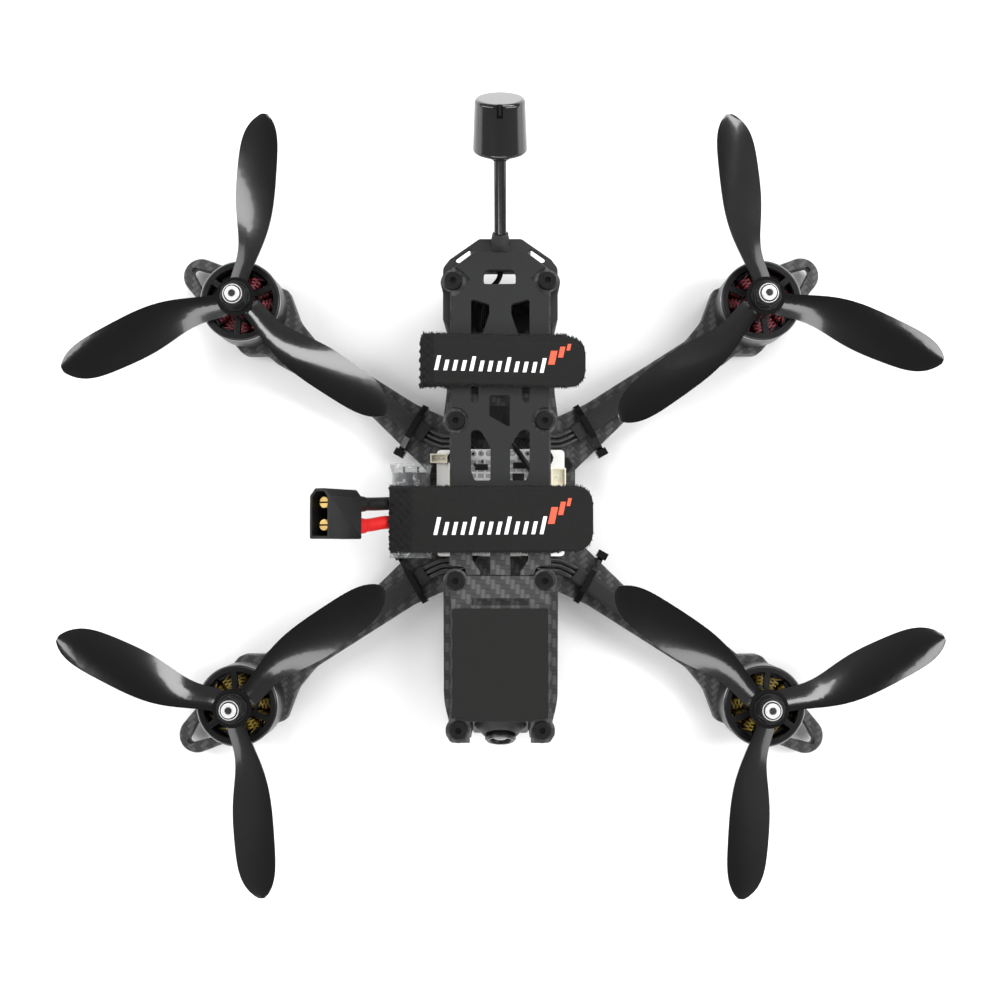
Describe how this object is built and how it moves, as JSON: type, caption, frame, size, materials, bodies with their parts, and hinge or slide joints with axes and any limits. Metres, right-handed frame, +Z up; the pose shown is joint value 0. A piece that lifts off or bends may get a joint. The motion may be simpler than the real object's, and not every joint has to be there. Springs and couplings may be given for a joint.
{
  "type": "quadcopter drone",
  "caption": "Racing quadcopter with carbon arms, outrunner motors, three-blade propellers, strapped battery deck, tilting camera and rear antenna.",
  "frame": {"origin": "centre of the arms' cross, on the underside of the bottom plate", "axes": "+X to the right seen from above, +Y towards the rear antenna, +Z up"},
  "size_m": [0.3034, 0.2687, 0.0684],
  "materials": {
    "carbon": "twill weave carbon laminate, satin",
    "black_aluminium": "black anodised",
    "black_steel": "black oxide",
    "steel": "polished",
    "pad_rubber": "matte dark grey",
    "print_rubber": "matte black, fine layer lines",
    "board": "white solder mask",
    "connector": "cream white nylon",
    "electronics": "black",
    "capacitor_can": "black film over an aluminium can",
    "clear_film": "clear shrink film",
    "camera_plastic": "black",
    "lens": "gloss black",
    "antenna_plastic": "gloss black",
    "cable_black": "black silicone and sleeving",
    "wire_red": "red silicone",
    "strap_fabric": "black hook-and-loop webbing",
    "tie_nylon": "black nylon",
    "motor_metal": "matte black anodised, bright edge",
    "copper": "enamelled copper",
    "gold": "gold plated",
    "prop_plastic": "gloss black polycarbonate"
  },
  "bodies": {
    "frame": {"bottom_plate": "carbon", "mid_plate": "carbon", "standoffs": "black_aluminium", "top_plate_rear": "carbon", "battery_pad": "pad_rubber", "top_plate_front": "carbon", "front_pad": "pad_rubber", "frame_fasteners": "black_steel", "stack_fasteners": "black_steel", "stack_grommets": "print_rubber", "camera_side_plates": "carbon", "antenna_mount": "print_rubber", "antenna_mast": "antenna_plastic", "antenna_cap": "antenna_plastic", "antenna_coax": "cable_black", "esc_board": "board", "flight_controller": "board", "wire_connectors": "connector", "video_transmitter": "electronics", "radio_receiver": "electronics", "capacitor": "capacitor_can", "capacitor_sleeve": "clear_film", "motor_wires": "cable_black", "wire_sleeves": "cable_black", "cable_ties": "tie_nylon", "power_lead_black": "cable_black", "power_lead_red": "wire_red", "power_plug_housing": "electronics", "power_plug_pins": "gold", "battery_strap_rear": "strap_fabric", "battery_strap_front": "strap_fabric", "motor_bases": "motor_metal", "motor_bearings": "steel", "motor_stators": "steel", "motor_windings": "copper", "motor_screws": "black_steel", "arm_rear_left": "carbon", "arm_rear_right": "carbon", "arm_front_left": "carbon", "arm_front_right": "carbon"},
    "rotor_rear_left": {"propeller_rear_left": "prop_plastic", "motor_bell_rear_left": "motor_metal", "motor_shaft_rear_left": "steel", "prop_nut_rear_left": "black_steel"},
    "rotor_rear_right": {"propeller_rear_right": "prop_plastic", "motor_bell_rear_right": "motor_metal", "motor_shaft_rear_right": "steel", "prop_nut_rear_right": "black_steel"},
    "rotor_front_left": {"propeller_front_left": "prop_plastic", "motor_bell_front_left": "motor_metal", "motor_shaft_front_left": "steel", "prop_nut_front_left": "black_steel"},
    "rotor_front_right": {"propeller_front_right": "prop_plastic", "motor_bell_front_right": "motor_metal", "motor_shaft_front_right": "steel", "prop_nut_front_right": "black_steel"},
    "camera": {"camera_case": "camera_plastic", "camera_lens": "lens", "camera_screws": "black_steel"},
    "button": {"boot_button": "electronics"}
  },
  "joints": [
    {"name": "spin_rear_left", "type": "hinge", "parent": "frame", "child": "rotor_rear_left", "pos_m": [-0.0905, 0.07, 0.02], "axis": [0, 0, 1], "continuous": true},
    {"name": "spin_rear_right", "type": "hinge", "parent": "frame", "child": "rotor_rear_right", "pos_m": [0.0905, 0.07, 0.02], "axis": [0, 0, 1], "continuous": true},
    {"name": "spin_front_left", "type": "hinge", "parent": "frame", "child": "rotor_front_left", "pos_m": [-0.0905, -0.07, 0.02], "axis": [0, 0, 1], "continuous": true},
    {"name": "spin_front_right", "type": "hinge", "parent": "frame", "child": "rotor_front_right", "pos_m": [0.0905, -0.07, 0.02], "axis": [0, 0, 1], "continuous": true},
    {"name": "camera_tilt", "type": "hinge", "parent": "frame", "child": "camera", "pos_m": [0, -0.071, 0.0225], "axis": [-1, 0, 0], "range_deg": [-25, 15]},
    {"name": "boot_press", "type": "slide", "parent": "frame", "child": "button", "axis": [0, 0, -1], "range_m": [0, 0.00025], "stiffness_N_per_m": 200}
  ]
}
